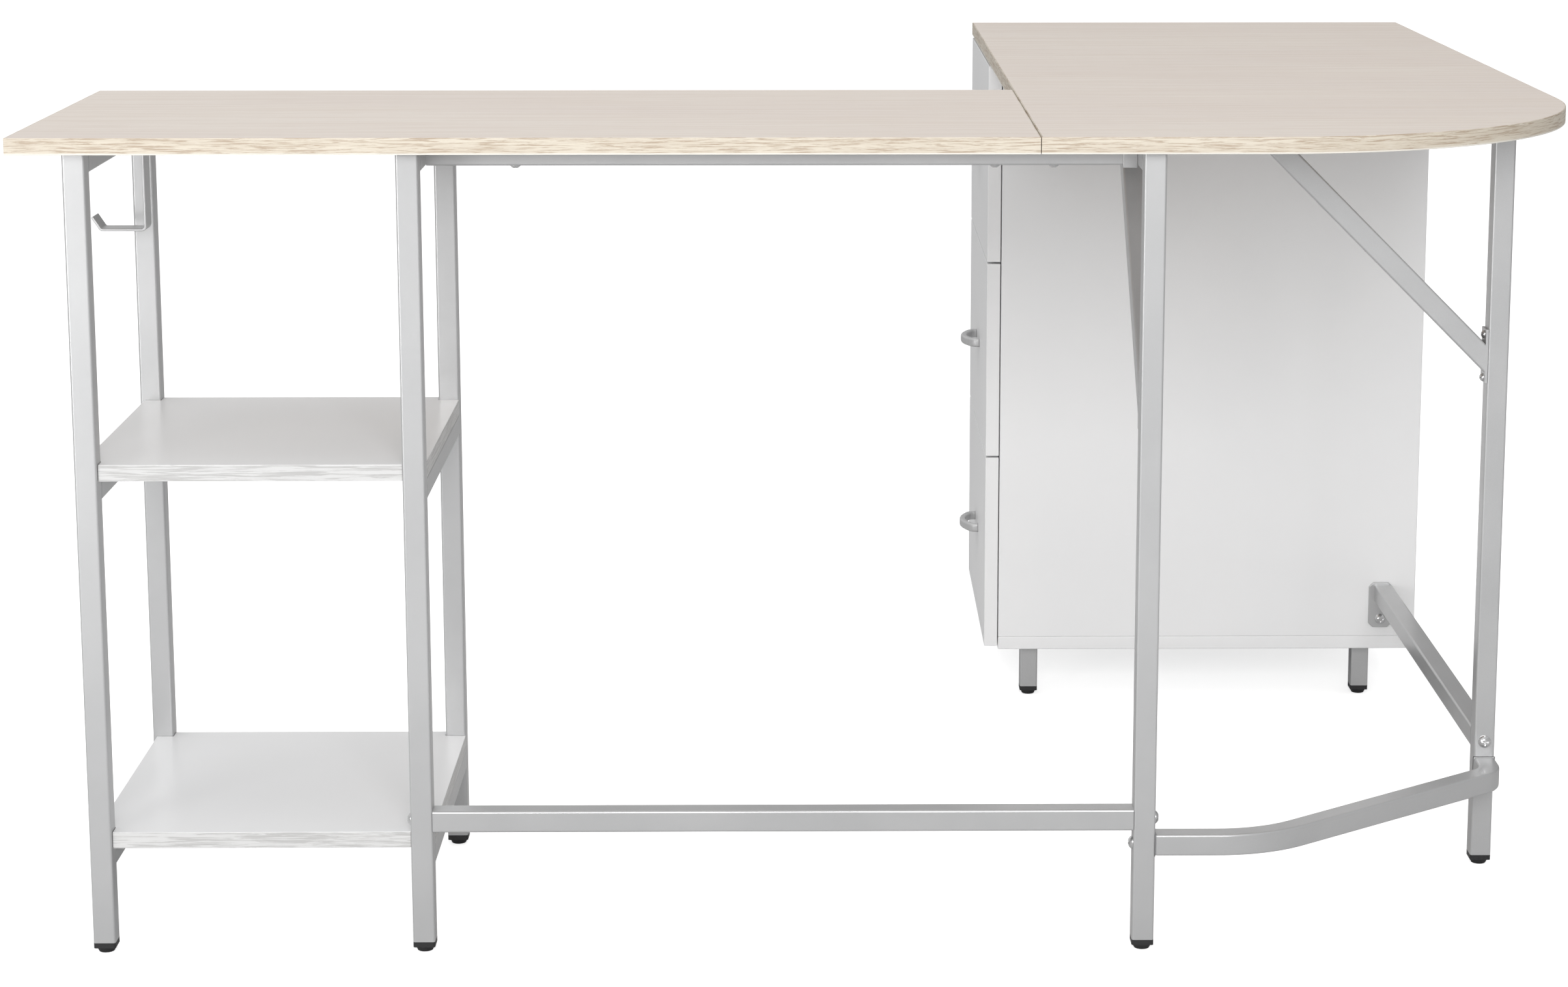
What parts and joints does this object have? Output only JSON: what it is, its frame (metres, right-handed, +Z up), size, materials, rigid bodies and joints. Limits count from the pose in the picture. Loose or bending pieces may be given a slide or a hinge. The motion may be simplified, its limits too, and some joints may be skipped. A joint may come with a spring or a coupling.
{
  "type": "L-shaped desk",
  "caption": "L-shaped desk for sewing: laminate tops on a square-tube frame, an open shelf end unit, a curved foot rail and a drawer cabinet.",
  "frame": {"origin": "on the floor, under the centre of the tops' bounding rectangle", "axes": "+Z up; -Y towards the outer long side with the long rails and the rounded corner; +X towards the main top and the cabinet's back; the drawers open towards -X"},
  "size_m": [1.42, 1.2, 0.75],
  "materials": {
    "maple_laminate": "satin pale maple laminate",
    "maple_edge_band": "satin cream edge band with streaky grain",
    "white_laminate": "satin white laminate",
    "drawer_board": "matt white foil on board",
    "drawer_hardboard": "matt white hardboard",
    "silver_tube": "satin silver powder coat on steel",
    "zinc_steel": "zinc-plated sheet steel",
    "pull_metal": "satin grey metal",
    "plated_screw": "nickel plate",
    "black_plastic": "matt black"
  },
  "bodies": {
    "desk": {"side_top_panel": "maple_laminate", "side_top_edge_band": "maple_edge_band", "main_top_panel": "maple_laminate", "main_top_edge_band": "maple_edge_band", "upper_shelf": "white_laminate", "lower_shelf": "white_laminate", "outer_front_leg": "silver_tube", "outer_rear_leg": "silver_tube", "outer_top_rail": "silver_tube", "outer_middle_rail": "silver_tube", "outer_bottom_rail": "silver_tube", "inner_front_leg": "silver_tube", "inner_rear_leg": "silver_tube", "inner_top_rail": "silver_tube", "inner_middle_rail": "silver_tube", "inner_bottom_rail": "silver_tube", "long_top_rail": "silver_tube", "rail_end_sleeve": "silver_tube", "long_bottom_rail": "silver_tube", "corner_leg": "silver_tube", "corner_top_arm": "silver_tube", "corner_brace": "silver_tube", "side_leg": "silver_tube", "side_top_arm": "silver_tube", "side_brace": "silver_tube", "curved_foot_rail": "silver_tube", "depth_rail": "silver_tube", "depth_rail_flange": "silver_tube", "hook": "silver_tube", "cabinet_near_side": "white_laminate", "cabinet_far_side": "white_laminate", "cabinet_back": "white_laminate", "cabinet_bottom": "white_laminate", "cabinet_legs": "silver_tube", "cabinet_runner_channels": "zinc_steel", "leg_caps": "black_plastic", "panel_screws": "plated_screw", "frame_bolts": "plated_screw", "brace_screws": "plated_screw"},
    "drawer_bottom": {"drawer_bottom_front": "white_laminate", "drawer_bottom_sides": "drawer_board", "drawer_bottom_back": "drawer_board", "drawer_bottom_bottom": "drawer_hardboard", "drawer_bottom_handle": "pull_metal", "drawer_bottom_handle_screws": "plated_screw", "drawer_bottom_runner_members": "zinc_steel"},
    "drawer_middle": {"drawer_middle_front": "white_laminate", "drawer_middle_sides": "drawer_board", "drawer_middle_back": "drawer_board", "drawer_middle_bottom": "drawer_hardboard", "drawer_middle_handle": "pull_metal", "drawer_middle_handle_screws": "plated_screw", "drawer_middle_runner_members": "zinc_steel"},
    "drawer_top": {"drawer_top_front": "white_laminate", "drawer_top_sides": "drawer_board", "drawer_top_back": "drawer_board", "drawer_top_bottom": "drawer_hardboard", "drawer_top_handle": "pull_metal", "drawer_top_handle_screws": "plated_screw", "drawer_top_runner_members": "zinc_steel"}
  },
  "joints": [
    {"name": "drawer_bottom_slide", "type": "slide", "parent": "desk", "child": "drawer_bottom", "axis": [-1, 0, 0], "range_m": [0, 0.33]},
    {"name": "drawer_middle_slide", "type": "slide", "parent": "desk", "child": "drawer_middle", "axis": [-1, 0, 0], "range_m": [0, 0.33]},
    {"name": "drawer_top_slide", "type": "slide", "parent": "desk", "child": "drawer_top", "axis": [-1, 0, 0], "range_m": [0, 0.33]}
  ]
}
